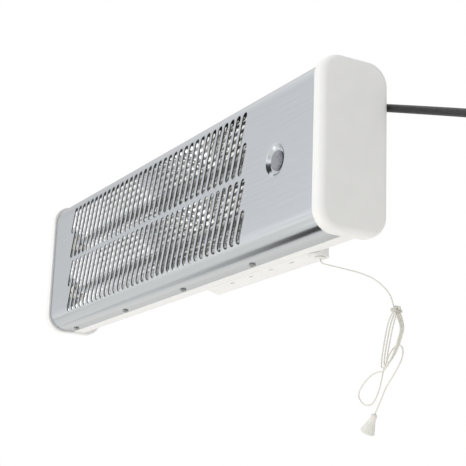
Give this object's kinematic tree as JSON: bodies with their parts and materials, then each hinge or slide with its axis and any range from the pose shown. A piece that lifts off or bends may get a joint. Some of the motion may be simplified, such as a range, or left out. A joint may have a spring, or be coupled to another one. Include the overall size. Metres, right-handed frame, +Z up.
{
  "type": "infrared heater",
  "caption": "Wall-mounted infrared quartz heater: slotted satin steel front, white end caps, pull-cord switch, pilot lamp, and a coiled mains cable with a plug.",
  "frame": {"origin": "centre of the wall rail's back face, on the wall plane, level with the heater's mid-height", "axes": "+X along the heater, to the right seen from the front; +Y into the wall, so the slotted front faces -Y; +Z up"},
  "size_m": [0.8139, 0.0769, 0.3074],
  "materials": {
    "satin_steel": "satin silver sheet with a soft sheen",
    "white_plastic": "semi-gloss white moulding",
    "white_enamel": "smooth white enamel",
    "bright_aluminium": "bright rolled sheet with fine ribs",
    "galvanised_steel": "zinc-coated sheet",
    "zinc_screw": "zinc-plated",
    "quartz_glass": "clear quartz",
    "heating_alloy": "oxidised resistance wire",
    "ceramic": "unglazed off-white ceramic",
    "frosted_lens": "frosted grey lens",
    "lamp_amber": "neon lamp, not lit",
    "grey_plastic": "plain moulding",
    "switch_brown": "phenolic moulding",
    "spring_steel": "spring wire",
    "black_rubber": "smooth black sheath",
    "cord_nylon": "twisted off-white nylon cord",
    "knob_plastic": "off-white moulding"
  },
  "bodies": {
    "heater": {"cable_coil": "black_rubber", "cable_gland": "black_rubber", "cable_inlet": "white_plastic", "cable_tail": "black_rubber", "cap_screw_left_lower": "zinc_screw", "cap_screw_left_upper": "zinc_screw", "cap_screw_right_lower": "zinc_screw", "cap_screw_right_upper": "zinc_screw", "ceramic_left_lower": "ceramic", "ceramic_left_upper": "ceramic", "ceramic_right_lower": "ceramic", "ceramic_right_upper": "ceramic", "coil_tie": "black_rubber", "cord_bushing": "grey_plastic", "cover_screw_bottom_1": "zinc_screw", "cover_screw_bottom_2": "zinc_screw", "cover_screw_bottom_3": "zinc_screw", "cover_screw_bottom_4": "zinc_screw", "cover_screw_top_1": "zinc_screw", "cover_screw_top_2": "zinc_screw", "cover_screw_top_3": "zinc_screw", "cover_screw_top_4": "zinc_screw", "front_cover": "satin_steel", "heating_spiral_lower": "heating_alloy", "heating_spiral_upper": "heating_alloy", "indicator_lamp": "lamp_amber", "indicator_lens": "frosted_lens", "left_element_bracket": "galvanised_steel", "left_end_cap": "white_plastic", "lens_nut": "zinc_screw", "mains_cable": "black_rubber", "mains_plug": "black_rubber", "pull_switch_body": "switch_brown", "quartz_tube_lower": "quartz_glass", "quartz_tube_upper": "quartz_glass", "rail_screw_1": "zinc_screw", "rail_screw_2": "zinc_screw", "rail_screw_3": "zinc_screw", "rail_screw_4": "zinc_screw", "rear_housing": "white_enamel", "reflector": "bright_aluminium", "return_spring": "spring_steel", "right_element_bracket": "galvanised_steel", "right_end_cap": "white_plastic", "switch_box": "white_plastic", "terminal_block": "grey_plastic", "thermal_cutout": "grey_plastic", "wall_rail": "galvanised_steel"},
    "pull_cord": {"pull_cord_run": "cord_nylon", "pull_cord_hank": "cord_nylon", "cord_tie": "cord_nylon", "pull_cord_tail": "cord_nylon", "pull_knob": "knob_plastic"},
    "drum": {"pull_drum": "grey_plastic"},
    "cam": {"contact_cam": "grey_plastic"}
  },
  "joints": [
    {"name": "cord_pull", "type": "slide", "parent": "heater", "child": "pull_cord", "axis": [0, 0, -1], "range_m": [0, 0.012], "stiffness_N_per_m": 600},
    {"name": "drum_turn", "type": "hinge", "parent": "heater", "child": "drum", "pos_m": [0.2062, -0.0245, -0.0565], "axis": [0, 1, 0], "range_deg": [0, 85]},
    {"name": "cam_turn", "type": "hinge", "parent": "heater", "child": "cam", "pos_m": [0.2062, -0.045, -0.0565], "axis": [0, 1, 0], "continuous": true}
  ],
  "couplings": [
    {"joint": "drum_turn", "follows": "cord_pull", "rad_per_m": 119.05}
  ]
}
